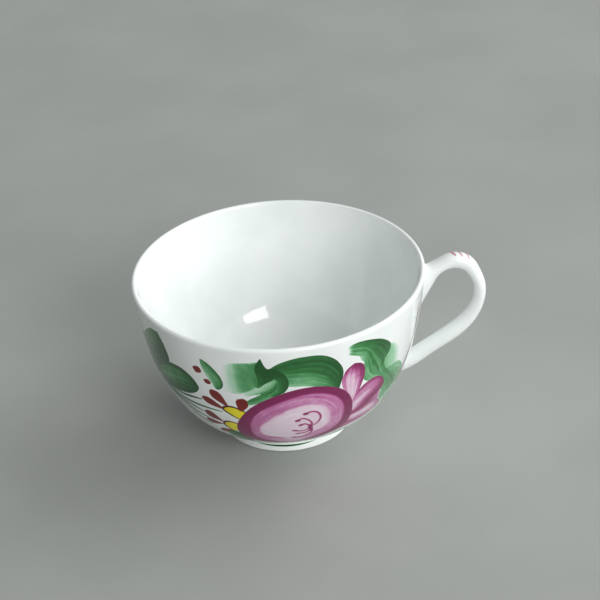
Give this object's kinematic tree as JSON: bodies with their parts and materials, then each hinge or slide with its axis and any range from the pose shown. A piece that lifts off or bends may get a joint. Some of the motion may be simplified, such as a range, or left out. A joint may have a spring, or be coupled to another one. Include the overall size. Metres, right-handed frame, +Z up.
{
  "type": "teacup",
  "caption": "Low, wide porcelain teacup with an ear-shaped loop handle, a small foot ring and a half-round lip, for standing on a saucer or a table.",
  "frame": {"origin": "on the cup's own axis, in the plane that the foot ring stands on", "axes": "+Z up along the cup's axis, +X towards the handle, +Y to the left of someone who looks along +X"},
  "size_m": [0.109, 0.09, 0.0549],
  "materials": {
    "porcelain_glaze": "clear gloss glaze over white porcelain",
    "foot_porcelain": "gloss glaze, with a dry unglazed standing edge",
    "joint_slip": "slip seam under the same gloss glaze",
    "enamel_green": "brushed on-glaze enamel, leaf green",
    "enamel_magenta": "brushed on-glaze enamel, magenta and pink",
    "enamel_red": "brushed on-glaze enamel, dark red",
    "enamel_yellow": "brushed on-glaze enamel, yellow"
  },
  "bodies": {
    "root": {"bowl": "porcelain_glaze", "foot_ring": "foot_porcelain", "handle": "porcelain_glaze", "handle_joint_upper": "joint_slip", "handle_joint_lower": "joint_slip"}
  },
  "joints": []
}
